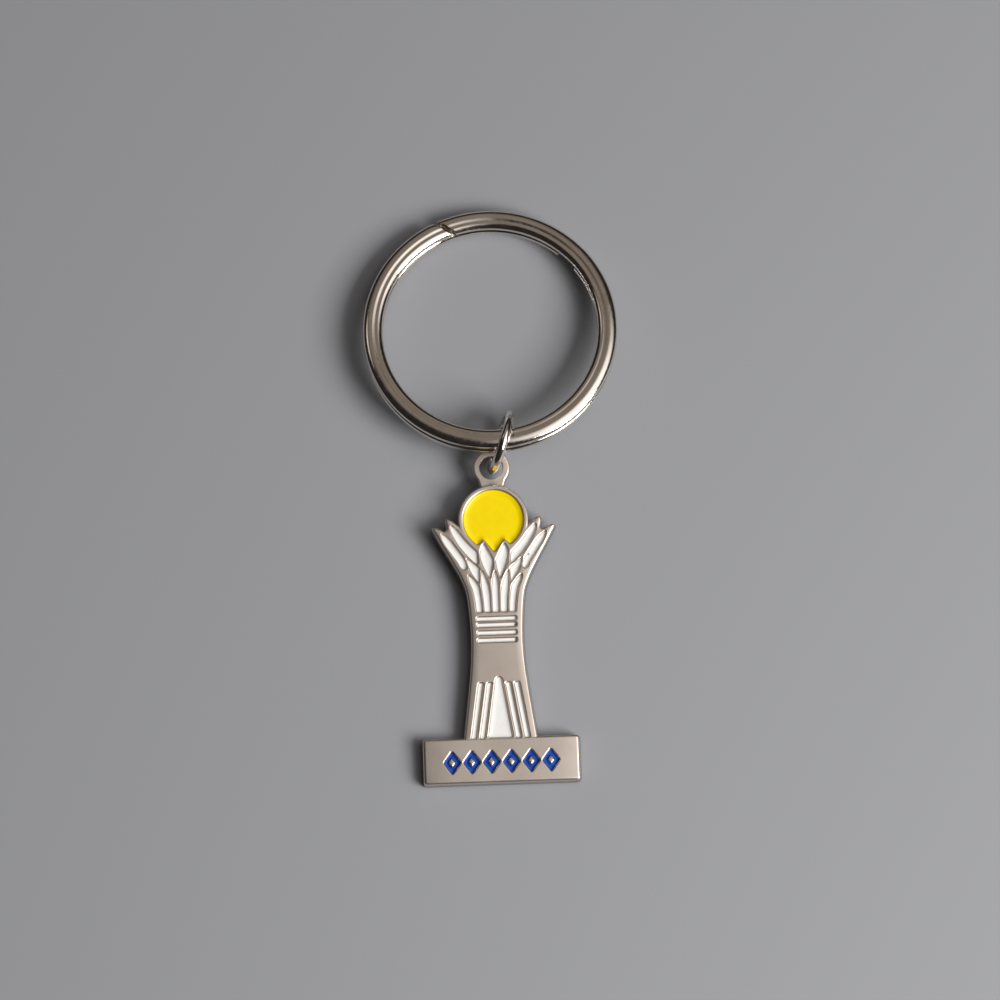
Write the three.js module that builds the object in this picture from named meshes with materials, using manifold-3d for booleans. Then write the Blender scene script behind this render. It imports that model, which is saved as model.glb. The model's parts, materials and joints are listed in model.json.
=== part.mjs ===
// A keychain: a flat die-cast pendant on a jump ring and a two-turn split ring.
//
// Millimetres, +Z up. It lies on a table at Z = 0, the pendant's face up and the
// rings toward +Y. The pendant leans a little, because the jump ring's wire lies
// under its loop, and the split ring leans on the jump ring. The origin is on the
// table, under the centre of the whole.
//
// The pendant is a flared tower on an oblong plinth, with a disc held in the petals
// at its top. Its sunk cells are filled with enamel, one solid fill in each cell.
import * as THREE from 'three';
import { mergeVertices } from 'three/addons/utils/BufferGeometryUtils.js';
import Module from 'manifold-3d';

const wasm = await Module();
wasm.setup();

// ---------------------------------------------------------------- dimensions

// Casting. Its flat frame has u to the right, v toward the loop and w out of the
// face, from the middle of the plinth's back.
const BODY_THICKNESS = 2.0;
const EDGE_BEVEL = 0.35;
const TOWER_BEVEL = 0.2;
const PLINTH_WIDTH = 19.0;
const PLINTH_HEIGHT = 5.75;
const PLINTH_CORNER = 0.6;
const DISC_CENTRE_V = 29.05;
const RIM_RADIUS = 4.3;
const DISC_RADIUS = 3.56;
const LOOP_CENTRE_V = 35.45;
const LOOP_RADIUS = 2.28;
const LOOP_HOLE_RADIUS = 1.4;
const LOOP_BACK_W = 0.2;
const LOOP_FRONT_W = 1.5;
const LOOP_BEVEL = 0.22;
const NECK_TOP_ANGLE = -42;
const NECK_HALF_WIDTH = 1.53;
const NECK_FOOT_V = 32.6;
const NECK_MIDDLE_V = 33.3;

// Enamel, which lies a little below the metal around it.
const CELL_DEPTH = 0.45;
const ENAMEL_BELOW_FACE = 0.1;
const FIT_GAP = 0.03;
const ENAMEL_EDGE = 0.05;

// Bars across the tower, and the stripes and the triangle of its foot.
const BAR_CENTRES_V = [17.0, 16.25, 15.3, 14.4];
const BAR_HALF_WIDTH = 2.35;
const BAR_THICKNESS = 0.4;
const STRIPE_TOP_V = 9.25;
const STRIPE_BOTTOM_V = 2.62;
const STRIPE_TOPS_U = [-2.14, -1.09, 1.09, 2.14];
const STRIPE_SPLAY = 0.16;
const STRIPE_WIDTH = 0.56;
const TRIANGLE_TOP_V = 9.95;
const TRIANGLE_BOTTOM_V = 2.7;

// The plinth's row of hollow lozenges.
const MARK_COUNT = 6;
const MARK_PITCH = 2.36;
const MARK_WIDTH = 2.05;
const MARK_HEIGHT = 2.75;
const MARK_CENTRE_V = -0.2;
const MARK_CORE = 0.42;

// Jump ring: round wire, closed up to a hair of a slit.
const JUMP_WIRE_RADIUS = 0.55;
const JUMP_RADIUS = 3.5;
const JUMP_SLIT_DEGREES = 3;
const JUMP_SLIT_AT_DEGREES = 250;
const JUMP_CENTRE_FROM_BAND = new THREE.Vector3(1.25, 1.0, 1.43);
const JUMP_YAW_DEGREES = -18.4;
const JUMP_LEAN_DEGREES = 8.5;

// Split ring: two turns of flattened wire, 30.8 mm over all.
const SPLIT_OUTER_RADIUS = 15.4;
const SPLIT_WIRE_WIDTH = 2.4;
const SPLIT_WIRE_THICKNESS = 1.3;
const SPLIT_WIRE_CORNER = 0.4;
const SPLIT_TURN_GAP = 0.1;
const SPLIT_CROSSING = [42, 105.5];
const SPLIT_UPPER_END = [105.5, 107.5];
const SPLIT_LOWER_END = [34, 42];
const SPLIT_CENTRE_FROM_BAND = new THREE.Vector3(1.58, 1.04, 2.21);
const SPLIT_YAW_DEGREES = 4.5;

// How the two lie on the table.
const PENDANT_LEAN_DEGREES = 2.5;
const SPLIT_LEAN_DEGREES = 6.6;

const radians = THREE.MathUtils.degToRad;

// ----------------------------------------------------------------- materials

function finish(color, roughness, metalness) {
  return new THREE.MeshStandardMaterial({ color, roughness, metalness });
}

const satinNickel = finish(0xada297, 0.38, 1);
const polishedNickel = finish(0xcfc8bf, 0.15, 1);
const whiteEnamel = finish(0xf2f0ec, 0.25, 0);
const yellowEnamel = finish(0xf7d90a, 0.25, 0);
const blueEnamel = finish(0x0d3a96, 0.3, 0);

// -------------------------------------------------------------- mesh helpers

function toSolid(geometry) {
  const bare = geometry.clone();
  bare.deleteAttribute('normal');
  bare.deleteAttribute('uv');
  const merged = mergeVertices(bare, 1e-5);
  return new wasm.Manifold(new wasm.Mesh({
    numProp: 3,
    vertProperties: new Float32Array(merged.attributes.position.array),
    triVerts: new Uint32Array(merged.index.array),
  }));
}

function toGeometry(solid) {
  const mesh = solid.getMesh();
  const geometry = new THREE.BufferGeometry();
  geometry.setAttribute('position', new THREE.BufferAttribute(mesh.vertProperties, 3));
  geometry.setIndex(new THREE.BufferAttribute(mesh.triVerts, 1));
  return geometry;
}

function named(name, geometry, material) {
  const mesh = new THREE.Mesh(geometry, material);
  mesh.name = name;
  return mesh;
}

// A plate with both edges bevelled, between two heights. Its outline is the shape's.
function bevelledPlate(shape, fromW, toW, bevel, curveSegments = 6) {
  const geometry = new THREE.ExtrudeGeometry(shape, {
    depth: toW - fromW - 2 * bevel,
    bevelEnabled: true,
    bevelSize: bevel,
    bevelThickness: bevel,
    bevelOffset: -bevel,
    bevelSegments: 1,
    curveSegments,
  });
  return geometry.translate(0, 0, fromW + bevel);
}

// The solid that sinks a cell of this outline into the face.
function sunkCell(shape, curveSegments = 4) {
  const geometry = new THREE.ExtrudeGeometry(shape, { depth: 1, bevelEnabled: false, curveSegments });
  return toSolid(geometry.translate(0, 0, BODY_THICKNESS - CELL_DEPTH));
}

// The enamel that fills a cell of this outline, clear of the metal by the fit gap.
function enamelFill(shape, curveSegments = 4) {
  const height = CELL_DEPTH - FIT_GAP - ENAMEL_BELOW_FACE;
  const geometry = new THREE.ExtrudeGeometry(shape, {
    depth: height - 2 * ENAMEL_EDGE,
    bevelEnabled: true,
    bevelSize: ENAMEL_EDGE,
    bevelThickness: ENAMEL_EDGE,
    bevelOffset: -ENAMEL_EDGE - FIT_GAP,
    bevelSegments: 1,
    curveSegments,
  });
  return geometry.translate(0, 0, BODY_THICKNESS - CELL_DEPTH + FIT_GAP + ENAMEL_EDGE);
}

// ------------------------------------------------------------ plane outlines

// A closed outline from steps: [u, v] is a straight line, [cu, cv, u, v] a curve
// that bends toward (cu, cv). side is 1 for the right half and -1 for its mirror.
function outline(steps, side = 1) {
  const shape = new THREE.Shape();
  const [start, ...rest] = steps;
  shape.moveTo(side * start[0], start[1]);
  for (const step of rest) {
    if (step.length === 2) {
      shape.lineTo(side * step[0], step[1]);
    } else {
      shape.quadraticCurveTo(side * step[0], step[1], side * step[2], step[3]);
    }
  }
  shape.closePath();
  return shape;
}

function roundedOblong(width, height, corner) {
  const u = width / 2;
  const v = height / 2;
  return outline([
    [-u + corner, -v],
    [u - corner, -v],
    [u, -v, u, -v + corner],
    [u, v - corner],
    [u, v, u - corner, v],
    [-u + corner, v],
    [-u, v, -u, v - corner],
    [-u, -v + corner],
    [-u, -v, -u + corner, -v],
  ]);
}

function disc(radius, centreV) {
  const shape = new THREE.Shape();
  shape.absarc(0, centreV, radius, 0, 2 * Math.PI);
  return shape;
}

// The tower's right side, from inside the plinth up to the outer petal's tip.
const TOWER_SIDE = [
  [4.65, 2.0], [4.1, 6.0], [3.7, 9.0], [3.38, 12.0], [3.28, 15.5],
  [3.6, 19.8], [4.2, 21.8], [5.2, 23.8], [6.45, 26.0], [7.4, 28.0],
];

// From the outer petal's tip over the notch and the inner petal to the disc's rim.
const TOWER_PETALS = [
  [7.45, 28.35, 7.15, 28.4],
  [6.4, 28.35, 5.78, 27.85],
  [5.85, 28.7], [5.8, 29.4, 5.5, 29.4],
  [4.9, 29.3, 4.1, 28.5],
];

function towerOutline() {
  const shape = new THREE.Shape();
  const [foot, ...side] = TOWER_SIDE;
  shape.moveTo(foot[0], foot[1]);
  shape.splineThru(side.map(([u, v]) => new THREE.Vector2(u, v)));
  let [lastU, lastV] = side[side.length - 1];
  const mirrored = [];
  for (const step of TOWER_PETALS) {
    const [endU, endV] = step.slice(-2);
    if (step.length === 2) {
      shape.lineTo(endU, endV);
      mirrored.unshift([-lastU, lastV]);
    } else {
      shape.quadraticCurveTo(step[0], step[1], endU, endV);
      mirrored.unshift([-step[0], step[1], -lastU, lastV]);
    }
    [lastU, lastV] = [endU, endV];
  }
  shape.lineTo(-lastU, lastV);
  for (const step of mirrored) {
    if (step.length === 2) {
      shape.lineTo(step[0], step[1]);
    } else {
      shape.quadraticCurveTo(step[0], step[1], step[2], step[3]);
    }
  }
  const leftSide = TOWER_SIDE.slice(0, -1).reverse();
  shape.splineThru(leftSide.map(([u, v]) => new THREE.Vector2(-u, v)));
  shape.closePath();
  return shape;
}

// The loop's circle runs down into a neck, whose foot is inside the disc's rim.
function loopOutline() {
  const shape = new THREE.Shape();
  shape.moveTo(-NECK_HALF_WIDTH, NECK_FOOT_V);
  shape.lineTo(NECK_HALF_WIDTH, NECK_FOOT_V);
  shape.lineTo(NECK_HALF_WIDTH, NECK_MIDDLE_V);
  shape.absarc(0, LOOP_CENTRE_V, LOOP_RADIUS, radians(NECK_TOP_ANGLE), radians(180 - NECK_TOP_ANGLE));
  shape.lineTo(-NECK_HALF_WIDTH, NECK_MIDDLE_V);
  shape.closePath();
  const hole = new THREE.Path();
  hole.absarc(0, LOOP_CENTRE_V, LOOP_HOLE_RADIUS, 0, 2 * Math.PI, true);
  shape.holes.push(hole);
  return shape;
}

// The disc's enamel: a circle whose foot is cut by the two middle petals' tips.
const DISC_CORNER_U = 1.95;
const DISC_TIPS = [[1.25, 26.75], [0, 25.15], [-1.25, 26.75]];

function discOutline() {
  const cornerAngle = Math.acos(DISC_CORNER_U / DISC_RADIUS);
  const shape = new THREE.Shape();
  shape.absarc(0, DISC_CENTRE_V, DISC_RADIUS, -cornerAngle, Math.PI + cornerAngle);
  for (const [u, v] of DISC_TIPS.slice().reverse()) {
    shape.lineTo(u, v);
  }
  shape.closePath();
  return shape;
}

// The petals' cells, right half: the left half mirrors them.
const PETALS = {
  petal_outer: [
    [6.28, 27.5], [6.3, 26.85, 5.75, 26.0], [4.35, 23.95], [4.0, 23.05, 3.6, 23.05],
    [3.15, 23.2, 3.5, 24.05], [4.12, 25.0], [4.8, 26.0], [5.4, 26.95, 6.28, 27.5],
  ],
  petal_inner: [
    [5.05, 28.45], [5.3, 28.0, 4.78, 27.05], [4.18, 26.0], [3.38, 24.95], [2.75, 24.2, 2.05, 23.65],
    [1.9, 24.35, 2.08, 25.1], [2.95, 25.85, 3.8, 27.0], [4.3, 27.75, 5.05, 28.45],
  ],
  petal_side: [
    [3.33, 24.35], [3.2, 23.4, 2.7, 22.5], [2.35, 21.9, 1.92, 21.4], [1.85, 23.05],
    [2.5, 23.75, 3.33, 24.35],
  ],
  petal_centre: [
    [1.2, 26.1], [1.7, 25.5, 1.68, 24.6], [1.4, 23.3, 0.62, 21.9], [0.3, 22.9, 0.16, 24.05],
  ],
  petal_low_outer: [
    [3.22, 22.35], [3.12, 21.5, 2.83, 20.95], [2.45, 19.9, 2.33, 17.85], [1.65, 17.85],
    [1.7, 19.8, 2.0, 20.95], [2.5, 21.8, 3.22, 22.35],
  ],
  petal_low_inner: [
    [1.62, 22.85], [1.75, 21.5, 1.55, 20.2], [1.4, 19.0, 1.37, 17.85], [0.6, 17.85],
    [0.6, 20.6, 0.85, 21.1], [1.1, 22.1, 1.62, 22.85],
  ],
};

const MIDDLE_PETAL = [
  [0, 22.8], [0.42, 21.6, 0.4, 20.2], [0.38, 17.85], [-0.38, 17.85], [-0.4, 20.2],
  [-0.42, 21.6, 0, 22.8],
];

const TRIANGLE = [
  [-1.45, TRIANGLE_BOTTOM_V], [1.45, TRIANGLE_BOTTOM_V], [0.38, 9.6],
  [0.2, TRIANGLE_TOP_V, 0, TRIANGLE_TOP_V], [-0.2, TRIANGLE_TOP_V, -0.38, 9.6],
];

function barOutline(centreV) {
  const half = BAR_THICKNESS / 2;
  return outline([
    [-BAR_HALF_WIDTH, centreV - half],
    [BAR_HALF_WIDTH, centreV - half],
    [BAR_HALF_WIDTH, centreV + half],
    [-BAR_HALF_WIDTH, centreV + half],
  ]);
}

// A stripe leans with the tower's edge on its side. Both its ends are level.
function stripeOutline(topU) {
  const half = STRIPE_WIDTH / 2;
  const footU = topU + Math.sign(topU) * STRIPE_SPLAY * (STRIPE_TOP_V - STRIPE_BOTTOM_V);
  return outline([
    [footU - half, STRIPE_BOTTOM_V],
    [footU + half, STRIPE_BOTTOM_V],
    [topU + half, STRIPE_TOP_V],
    [topU - half, STRIPE_TOP_V],
  ]);
}

function lozenge(target, centreU, scale) {
  const u = scale * MARK_WIDTH / 2;
  const v = scale * MARK_HEIGHT / 2;
  target.moveTo(centreU, MARK_CENTRE_V - v);
  target.lineTo(centreU + u, MARK_CENTRE_V);
  target.lineTo(centreU, MARK_CENTRE_V + v);
  target.lineTo(centreU - u, MARK_CENTRE_V);
  target.closePath();
  return target;
}

function markOutline(index) {
  const centreU = (index - (MARK_COUNT - 1) / 2) * MARK_PITCH;
  const shape = lozenge(new THREE.Shape(), centreU, 1);
  shape.holes.push(lozenge(new THREE.Path(), centreU, MARK_CORE));
  return shape;
}

// Every enamel fill of the pendant, with its name, outline and colour.
function enamelCells() {
  const cells = [{ name: 'enamel_disc', shape: discOutline(), material: yellowEnamel, curveSegments: 22 }];
  for (const [name, steps] of Object.entries(PETALS)) {
    cells.push({ name: `enamel_${name}_left`, shape: outline(steps, -1), material: whiteEnamel });
    cells.push({ name: `enamel_${name}_right`, shape: outline(steps), material: whiteEnamel });
  }
  cells.push({ name: 'enamel_petal_low_middle', shape: outline(MIDDLE_PETAL), material: whiteEnamel });
  BAR_CENTRES_V.forEach((centreV, index) => {
    cells.push({ name: `enamel_bar_${index + 1}`, shape: barOutline(centreV), material: whiteEnamel });
  });
  STRIPE_TOPS_U.forEach((topU, index) => {
    cells.push({ name: `enamel_stripe_${index + 1}`, shape: stripeOutline(topU), material: whiteEnamel });
  });
  cells.push({ name: 'enamel_triangle', shape: outline(TRIANGLE), material: whiteEnamel });
  for (let index = 0; index < MARK_COUNT; index += 1) {
    cells.push({ name: `enamel_mark_${index + 1}`, shape: markOutline(index), material: blueEnamel });
  }
  return cells;
}

// -------------------------------------------------------------- the casting

function casting(cells) {
  const plinth = roundedOblong(PLINTH_WIDTH, PLINTH_HEIGHT, PLINTH_CORNER);
  const plates = [
    bevelledPlate(plinth, 0, BODY_THICKNESS, EDGE_BEVEL, 3),
    bevelledPlate(towerOutline(), 0, BODY_THICKNESS, TOWER_BEVEL, 3),
    bevelledPlate(disc(RIM_RADIUS, DISC_CENTRE_V), 0, BODY_THICKNESS, EDGE_BEVEL, 22),
    bevelledPlate(loopOutline(), LOOP_BACK_W, LOOP_FRONT_W, LOOP_BEVEL, 14),
  ];
  let solid = plates.map(toSolid).reduce((joined, plate) => joined.add(plate));
  for (const cell of cells) {
    solid = solid.subtract(sunkCell(cell.shape, cell.curveSegments));
  }
  return toGeometry(solid);
}

function pendant() {
  const group = new THREE.Group();
  const cells = enamelCells();
  group.add(named('pendant_casting', casting(cells), satinNickel));
  for (const cell of cells) {
    group.add(named(cell.name, enamelFill(cell.shape, cell.curveSegments), cell.material));
  }
  return group;
}

// ---------------------------------------------------------------- the rings

class RingPath extends THREE.Curve {
  getPoint(t, target = new THREE.Vector3()) {
    const open = radians(360 - JUMP_SLIT_DEGREES);
    const angle = radians(JUMP_SLIT_AT_DEGREES + JUMP_SLIT_DEGREES / 2) + t * open;
    return target.set(0, JUMP_RADIUS * Math.cos(angle), JUMP_RADIUS * Math.sin(angle));
  }
}

function jumpRing() {
  const section = new THREE.Shape();
  section.absarc(0, 0, JUMP_WIRE_RADIUS, 0, 2 * Math.PI);
  const geometry = new THREE.ExtrudeGeometry(section, {
    steps: 44,
    curveSegments: 5,
    bevelEnabled: false,
    extrudePath: new RingPath(),
  });
  return named('jump_ring', geometry, polishedNickel);
}

// A full turn of the split ring's section, of this height, about the ring's axis.
function turn(height, middle) {
  const radius = SPLIT_OUTER_RADIUS - SPLIT_WIRE_WIDTH / 2;
  const half = SPLIT_WIRE_WIDTH / 2;
  const flat = half - SPLIT_WIRE_CORNER;
  const rise = height / 2 - SPLIT_WIRE_CORNER;
  const profile = [];
  for (const [signU, signV, start] of [[1, -1, -90], [1, 1, 0], [-1, 1, 90], [-1, -1, 180]]) {
    for (const step of [0, 45, 90]) {
      const angle = radians(start + step);
      const u = signU * flat + SPLIT_WIRE_CORNER * Math.cos(angle);
      const v = signV * rise + SPLIT_WIRE_CORNER * Math.sin(angle);
      profile.push(new THREE.Vector2(radius + u, middle + v));
    }
  }
  profile.push(profile[0].clone());
  return toSolid(new THREE.LatheGeometry(profile, 60).rotateX(Math.PI / 2));
}

// A wedge about the ring's axis, between two angles.
function wedge([from, to], fromZ, toZ) {
  const reach = 2 * SPLIT_OUTER_RADIUS;
  const shape = new THREE.Shape();
  shape.moveTo(0, 0);
  shape.lineTo(reach * Math.cos(radians(from)), reach * Math.sin(radians(from)));
  shape.lineTo(reach * Math.cos(radians(to)), reach * Math.sin(radians(to)));
  shape.closePath();
  const geometry = new THREE.ExtrudeGeometry(shape, { depth: toZ - fromZ, bevelEnabled: false });
  return toSolid(geometry.translate(0, 0, fromZ));
}

// Two turns lie on each other with a hair between them. Where the wire crosses from
// one to the other they are one, and each free end stops short of that crossing.
function splitRing() {
  const stack = 2 * SPLIT_WIRE_THICKNESS + SPLIT_TURN_GAP;
  const middle = (SPLIT_WIRE_THICKNESS + SPLIT_TURN_GAP) / 2;
  const upper = turn(SPLIT_WIRE_THICKNESS, middle).subtract(wedge(SPLIT_UPPER_END, 0, stack));
  const lower = turn(SPLIT_WIRE_THICKNESS, -middle).subtract(wedge(SPLIT_LOWER_END, -stack, 0));
  const crossing = turn(stack, 0).intersect(wedge(SPLIT_CROSSING, -stack, stack));
  return named('split_ring', toGeometry(upper.add(lower).add(crossing)), polishedNickel);
}

// ----------------------------------------------------------------- assembly

const keychain = new THREE.Group();

// The pendant turns about the plinth's lower back edge, so that the edge stays down.
const restingEdgeV = EDGE_BEVEL - PLINTH_HEIGHT / 2;
const lean = new THREE.Group();
lean.rotation.x = radians(PENDANT_LEAN_DEGREES);
const flat = pendant();
flat.position.y = -restingEdgeV;
lean.add(flat);
keychain.add(lean);

// The middle of the loop's band, which the jump ring's wire goes round.
const bandV = LOOP_CENTRE_V + (LOOP_RADIUS + LOOP_HOLE_RADIUS) / 2;
const bandW = (LOOP_BACK_W + LOOP_FRONT_W) / 2;
const band = new THREE.Vector3(0, bandV - restingEdgeV, bandW);
band.applyAxisAngle(new THREE.Vector3(1, 0, 0), lean.rotation.x);

const jump = new THREE.Group();
jump.position.copy(band).add(JUMP_CENTRE_FROM_BAND);
jump.rotation.set(0, radians(JUMP_LEAN_DEGREES), radians(JUMP_YAW_DEGREES), 'ZYX');
jump.add(jumpRing());
keychain.add(jump);

const split = new THREE.Group();
split.position.copy(band).add(SPLIT_CENTRE_FROM_BAND);
split.rotation.set(radians(-SPLIT_LEAN_DEGREES), 0, radians(SPLIT_YAW_DEGREES), 'ZYX');
const ring = splitRing();
ring.position.y = SPLIT_OUTER_RADIUS - SPLIT_WIRE_WIDTH / 2;
split.add(ring);
keychain.add(split);

// The origin goes under the middle of the whole, on the table.
const bounds = new THREE.Box3().setFromObject(keychain, true);
const centre = bounds.getCenter(new THREE.Vector3());
keychain.position.set(-centre.x, -centre.y, -bounds.min.z);

export default keychain;
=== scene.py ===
import json
import math

import bmesh
import bpy
import numpy as np
from mathutils import Matrix, Vector, geometry


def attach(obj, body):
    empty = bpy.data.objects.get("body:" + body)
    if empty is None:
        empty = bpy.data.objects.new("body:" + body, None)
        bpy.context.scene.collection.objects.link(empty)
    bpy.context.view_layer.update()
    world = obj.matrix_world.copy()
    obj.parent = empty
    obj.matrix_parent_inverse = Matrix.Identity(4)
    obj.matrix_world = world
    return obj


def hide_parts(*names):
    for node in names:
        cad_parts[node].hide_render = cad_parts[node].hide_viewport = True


# The looks of a keychain: an enamelled die-cast pendant on a jump ring and a split
# ring. The pendant is drawn in its own flat frame, as the CAD is: u to the right,
# v toward the loop and w out of the face, in millimetres, from the middle of the
# plinth's back. The CAD record says how that frame lies in the row frame.

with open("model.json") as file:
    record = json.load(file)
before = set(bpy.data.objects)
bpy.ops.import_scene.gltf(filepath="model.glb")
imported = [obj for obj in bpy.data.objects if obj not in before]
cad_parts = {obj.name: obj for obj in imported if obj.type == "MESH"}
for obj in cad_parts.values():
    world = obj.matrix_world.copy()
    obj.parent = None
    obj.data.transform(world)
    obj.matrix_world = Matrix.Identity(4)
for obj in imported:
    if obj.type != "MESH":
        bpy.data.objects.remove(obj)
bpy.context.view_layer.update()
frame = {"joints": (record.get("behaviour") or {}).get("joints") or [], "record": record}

MM = 0.001

# ------------------------------------------------------------------ dimensions

FACE_W = 2.0                # the casting's face
PARTING_W = 0.42            # where the side walls meet the back's rounding
CELL_FLOOR_W = 1.56

PLINTH_WIDTH = 19.0
PLINTH_HEIGHT = 5.75
PLINTH_CORNER = 0.6
DISC_CENTRE_V = 29.05
RIM_RADIUS = 4.3
DISC_RADIUS = 3.56
DISC_CORNER_U = 1.95
DISC_TIPS = [(-1.25, 26.75), (0, 25.15), (1.25, 26.75)]
LOOP_CENTRE_V = 35.45
LOOP_RADIUS = 2.28
LOOP_HOLE_RADIUS = 1.4
LOOP_BACK_W = 0.2
LOOP_FRONT_W = 1.5
NECK_TOP_ANGLE = -42
NECK_HALF_WIDTH = 1.53
NECK_FOOT_V = 32.6
NECK_MIDDLE_V = 33.3

BAR_CENTRES_V = [17.0, 16.25, 15.3, 14.4]
BAR_HALF_WIDTH = 2.35
BAR_THICKNESS = 0.4
STRIPE_TOP_V = 9.25
STRIPE_BOTTOM_V = 2.62
STRIPE_TOPS_U = [-2.14, -1.09, 1.09, 2.14]
STRIPE_SPLAY = 0.16
STRIPE_WIDTH = 0.56

MARK_COUNT = 6
MARK_PITCH = 2.36
MARK_WIDTH = 2.05
MARK_HEIGHT = 2.75
MARK_CENTRE_V = -0.2
MARK_CORE = 0.42

JUMP_WIRE_RADIUS = 0.55
JUMP_RADIUS = 3.5
JUMP_SLIT_DEGREES = 3
JUMP_SLIT_AT_DEGREES = 250
JUMP_CENTRE_FROM_BAND = Vector((1.25, 1.0, 1.43))
JUMP_YAW_DEGREES = -18.4
JUMP_LEAN_DEGREES = 8.5
JUMP_END_ROUND = 0.06

SPLIT_OUTER_RADIUS = 15.4
SPLIT_WIRE_WIDTH = 2.4
SPLIT_WIRE_THICKNESS = 1.3
SPLIT_TURN_GAP = 0.1
SPLIT_UPPER_END = (105.5, 107.5)
SPLIT_LOWER_END = (34, 42)
SPLIT_YAW_DEGREES = 4.5
SPLIT_LEAN_DEGREES = 6.6
SPLIT_UPPER_SKEWS = (0.73, 0.73)        # how far each end's cut leans, start and finish
SPLIT_LOWER_SKEWS = (-0.5, 0.35)
SPLIT_END_ROUND = 0.16
SKEW_FADE_DEGREES = 4
CROSSING_SINK = 0.08                    # how far the turns sink together at the crossing
CROSSING_FADE_DEGREES = 8
OUTER_SQUARENESS = 2.3                  # of the wire's outer side, and of the side at the seam
SEAM_SQUARENESS = 2.5
DRAWN_LINE_AT = -0.25                   # the faint line drawn along the outer side
DRAWN_LINE_WIDTH = 0.22
DRAWN_LINE_DEPTH = 0.09

# The lip that a cell's metal rounds over with, and the enamel's own surface.
LIP_WIDTH = 0.2
DISC_LIP_WIDTH = 0.24
LIP_DEPTH = 0.24
ENAMEL_DEPTH = 0.37
MENISCUS = 0.06
DISC_MENISCUS = 0.16
MENISCUS_REACH = 0.5

EDGE_UNDER_LIP = 0.01       # how far the enamel reaches in under the lip
SOFT_REACH = 0.09
FILL_FLOOR_W = 1.58
FILL_LINES = (0.03, 0.08, 0.14)
FILL_GRID_SPACING = 0.12
FILL_GRID_FROM = 0.19

# The casting's own edges.
END_DROP = 0.13             # how far the plinth's face falls away toward its ends
HOLE_SHARPNESS = 4.0        # how much narrower a hole's edge rounding is
BACK_ROUND_WIDTH = 0.3
ROUND_SHARES = [1 - math.sin(math.radians(t)) for t in (77, 64, 51, 38, 26, 14, 0)]
SUPPORT = 0.03
EDGE_STARTS = 0.08          # the drop below the face where worn edge, and then wall, begin
EDGE_DEPTH = 0.2
WALL_STARTS = 0.38
WALL_DEPTH = 0.15

POINT_SPACING = 0.11
CORNER_SOFTENING = 0.09
TOUCH = 1e-3
BATCH = 4000                # points measured at a time

CAMERA_LENS = 178.6
CAMERA_TILT_DEGREES = 12.4
CAMERA_TURN_DEGREES = -2.05
CAMERA_DISTANCE = 0.6
FLOOR_REACH = 1.5


# -------------------------------------------------------------- plane outlines

def outline(steps, side=1):
    """Points round a closed outline. A step (u, v) is a straight line, and (cu, cv, u, v)
    a curve that bends toward (cu, cv). side is -1 for the mirrored left half."""
    points = [steps[0][-2:]]
    for step in [*steps[1:], steps[0][-2:]]:
        start, end = np.array(points[-1]), np.array(step[-2:])
        bend = np.array(step[:2]) if len(step) == 4 else (start + end) / 2
        count = max(2, math.ceil(np.linalg.norm(end - start) / POINT_SPACING))
        for t in np.arange(1, count + 1) / count:
            points.append((1 - t) ** 2 * start + 2 * t * (1 - t) * bend + t * t * end)
    return np.array(points[:-1]) * (side, 1)


def arc(radius, centre_v, start_degrees, end_degrees):
    """Points along an arc about the pendant's middle line, both ends included."""
    sweep = math.radians(end_degrees - start_degrees)
    count = max(3, math.ceil(abs(sweep) * radius / POINT_SPACING))
    angles = math.radians(start_degrees) + sweep * np.arange(count + 1) / count
    return np.c_[radius * np.cos(angles), centre_v + radius * np.sin(angles)]


def circle(radius, centre_v):
    return arc(radius, centre_v, 0, 360)[:-1]


def softened(points, reach=CORNER_SOFTENING):
    """The same outline with evenly spaced points and its corners rounded a little."""
    closed = np.vstack([points, points[:1]])
    lengths = np.r_[0, np.cumsum(np.linalg.norm(np.diff(closed, axis=0), axis=1))]
    count = max(12, round(lengths[-1] / POINT_SPACING))
    at = np.arange(count) * lengths[-1] / count
    even = np.c_[np.interp(at, lengths, closed[:, 0]), np.interp(at, lengths, closed[:, 1])]
    step = lengths[-1] / count
    offsets = np.arange(-6, 7)
    weights = np.exp(-0.5 * (offsets * step / reach) ** 2)
    weights /= weights.sum()
    return sum(w * np.roll(even, -k, axis=0) for k, w in zip(offsets, weights))


def smooth_line(points):
    """Points along a Catmull-Rom line through these, both ends included."""
    p = np.array(points, float)
    p = np.vstack([2 * p[0] - p[1], p, 2 * p[-1] - p[-2]])
    line = []
    for a, b, c, d in zip(p, p[1:], p[2:], p[3:]):
        count = max(2, math.ceil(np.linalg.norm(c - b) / POINT_SPACING))
        for t in np.arange(count) / count:
            line.append(0.5 * (2 * b + (c - a) * t + (2 * a - 5 * b + 4 * c - d) * t ** 2
                               + (3 * b - a - 3 * c + d) * t ** 3))
    return np.array([*line, p[-2]])


def plinth_outline():
    u, v, corner = PLINTH_WIDTH / 2, PLINTH_HEIGHT / 2, PLINTH_CORNER
    return outline([
        (-u + corner, -v), (u - corner, -v), (u, -v, u, -v + corner), (u, v - corner),
        (u, v, u - corner, v), (-u + corner, v), (-u, v, -u, v - corner), (-u, -v + corner),
        (-u, -v, -u + corner, -v),
    ])


TOWER_SIDE = [
    (4.65, 2.0), (4.1, 6.0), (3.7, 9.0), (3.38, 12.0), (3.28, 15.5),
    (3.6, 19.8), (4.2, 21.8), (5.2, 23.8), (6.45, 26.0), (7.5, 27.95),
]
TOWER_PETALS = [
    (7.5, 27.95), (7.66, 28.42, 7.2, 28.48), (6.4, 28.42, 5.8, 27.9), (5.93, 28.75),
    (5.97, 29.5, 5.5, 29.5), (4.9, 29.38, 4.1, 28.6),
]


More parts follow.
